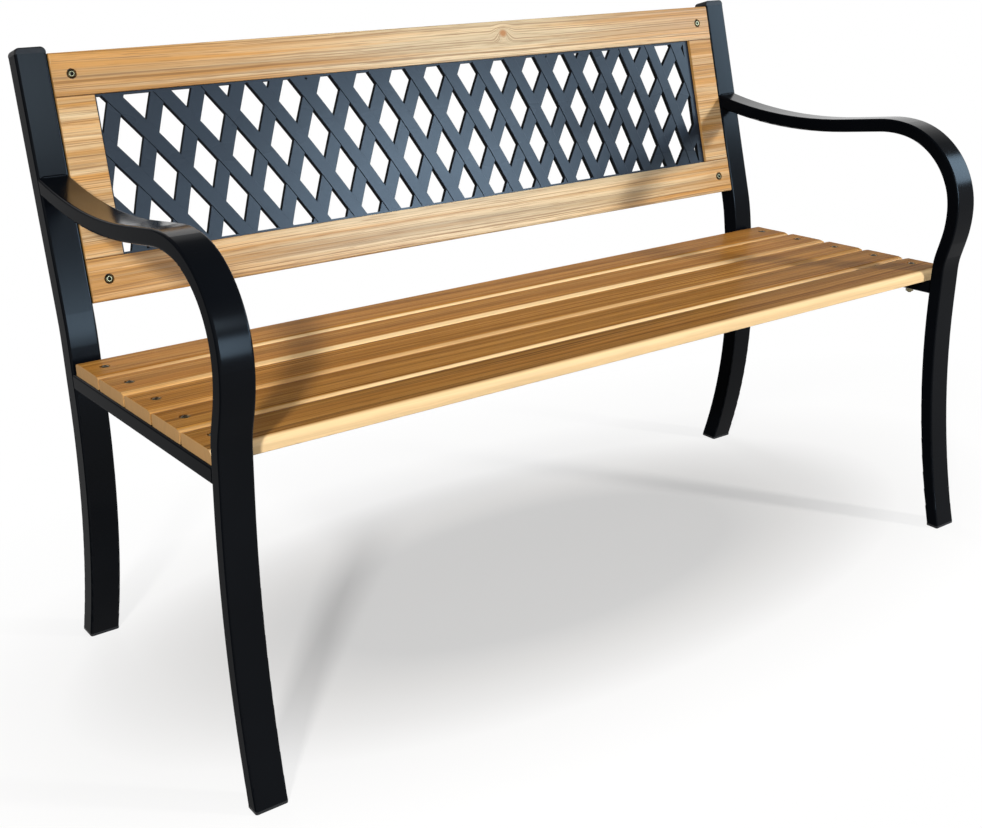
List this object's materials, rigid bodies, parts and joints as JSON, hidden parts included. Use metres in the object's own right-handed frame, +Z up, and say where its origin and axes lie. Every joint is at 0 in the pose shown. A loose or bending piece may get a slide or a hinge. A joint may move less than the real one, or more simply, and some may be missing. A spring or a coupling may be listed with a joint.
{
  "type": "garden bench",
  "caption": "Outdoor bench with a slatted wooden seat and a wood-framed diamond lattice back, carried by two bent steel side frames that form the legs and looped armrests",
  "frame": {"origin": "on the floor under the middle of the bench's bounding box", "axes": "+X to the right as seen from the front, +Y to the rear, +Z up"},
  "size_m": [1.22, 0.5668, 0.7797],
  "materials": {
    "frame_paint": "satin black powder coat",
    "plugs": "fine texture",
    "lattice": "satin moulded",
    "seat_wood": "satin varnish",
    "back_wood": "satin varnish",
    "fasteners": "zinc plated"
  },
  "bodies": {
    "root": {"back_bolts": "fasteners", "back_lower_rail": "back_wood", "back_nuts": "fasteners", "back_top_rail": "back_wood", "back_washers": "fasteners", "lattice_panel": "lattice", "left_arm_front_leg": "frame_paint", "left_front_foot": "plugs", "left_lower_tab": "frame_paint", "left_rear_foot": "plugs", "left_rear_upright": "frame_paint", "left_seat_rail": "frame_paint", "left_stile": "back_wood", "left_top_tab": "frame_paint", "left_upright_cap": "plugs", "right_arm_front_leg": "frame_paint", "right_front_foot": "plugs", "right_lower_tab": "frame_paint", "right_rear_foot": "plugs", "right_rear_upright": "frame_paint", "right_seat_rail": "frame_paint", "right_stile": "back_wood", "right_top_tab": "frame_paint", "right_upright_cap": "plugs", "seat_bolts": "fasteners", "seat_nuts": "fasteners", "seat_slat_1": "seat_wood", "seat_slat_2": "seat_wood", "seat_slat_3": "seat_wood", "seat_slat_4": "seat_wood", "seat_slat_5": "seat_wood", "seat_strap": "frame_paint", "seat_washers": "fasteners", "stile_dowels": "back_wood", "strap_screws": "fasteners"}
  },
  "joints": []
}
